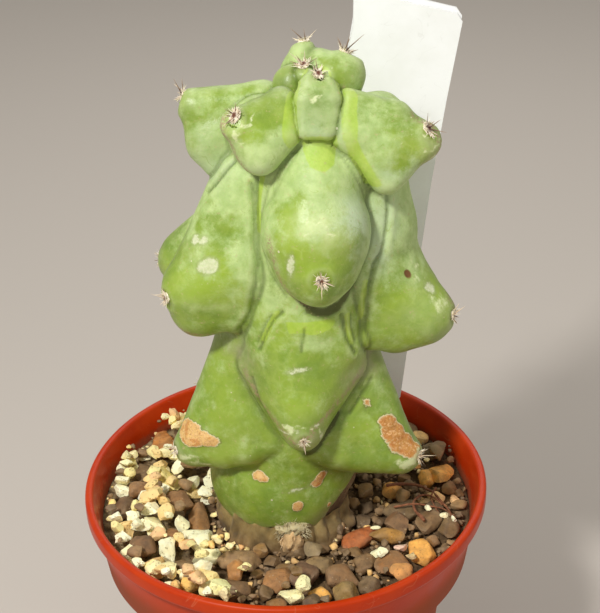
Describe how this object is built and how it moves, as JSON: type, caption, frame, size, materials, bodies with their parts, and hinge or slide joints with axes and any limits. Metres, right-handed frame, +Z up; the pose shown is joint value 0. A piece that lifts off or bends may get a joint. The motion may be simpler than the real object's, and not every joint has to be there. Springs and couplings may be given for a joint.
{
  "type": "potted boobie cactus",
  "caption": "A small columnar cactus with rounded hanging swellings, in a gritty mix in a plastic nursery pot with two blank plant labels.",
  "frame": {"origin": "middle of the underside of the pot's base, on the surface that the pot stands on", "axes": "+Z up along the pot's axis; -Y towards the front of the plant, the side that the picture shows; +X to the right of the front"},
  "size_m": [0.065, 0.065, 0.1301],
  "materials": {
    "pot": "satin moulded terracotta-red plastic",
    "soil": "dark gritty potting mix",
    "pumice": "pale porous grit",
    "stem": "waxy green skin with a pale bloom",
    "areole": "woolly pad with dry brown spines",
    "stone": "dusty angular gravel",
    "label": "blank white plastic",
    "root": "dry reddish root"
  },
  "bodies": {
    "root": {"areole_back_lower": "areole", "areole_back_top": "areole", "areole_back_upper": "areole", "areole_crown_back": "areole", "areole_crown_middle": "areole", "areole_crown_right": "areole", "areole_front_crown": "areole", "areole_front_foot": "areole", "areole_front_left_top": "areole", "areole_front_lower": "areole", "areole_front_right_top": "areole", "areole_front_upper": "areole", "areole_left_back_lower": "areole", "areole_left_back_top": "areole", "areole_left_back_upper": "areole", "areole_left_lower": "areole", "areole_left_upper": "areole", "areole_right_back_lower": "areole", "areole_right_back_top": "areole", "areole_right_back_upper": "areole", "areole_right_lower": "areole", "areole_right_upper": "areole", "gravel_pumice": "pumice", "label_front": "label", "label_rear": "label", "pot": "pot", "root_thread": "root", "soil": "soil", "stem": "stem", "stone_brown_back_left": "stone", "stone_brown_by_stem": "stone", "stone_brown_front": "stone", "stone_brown_front_left": "stone", "stone_brown_left": "stone", "stone_dark_block": "stone", "stone_dark_front_right": "stone", "stone_grey_front": "stone", "stone_grey_front_right": "stone", "stone_grey_right_back": "stone", "stone_red_slab": "stone", "stone_round_front": "stone", "stone_slab_by_stem": "stone", "stone_slate_left": "stone", "stone_tan_front": "stone", "stone_tan_right": "stone", "stone_tan_right_back": "stone", "stone_yellow_front_left": "stone"}
  },
  "joints": []
}
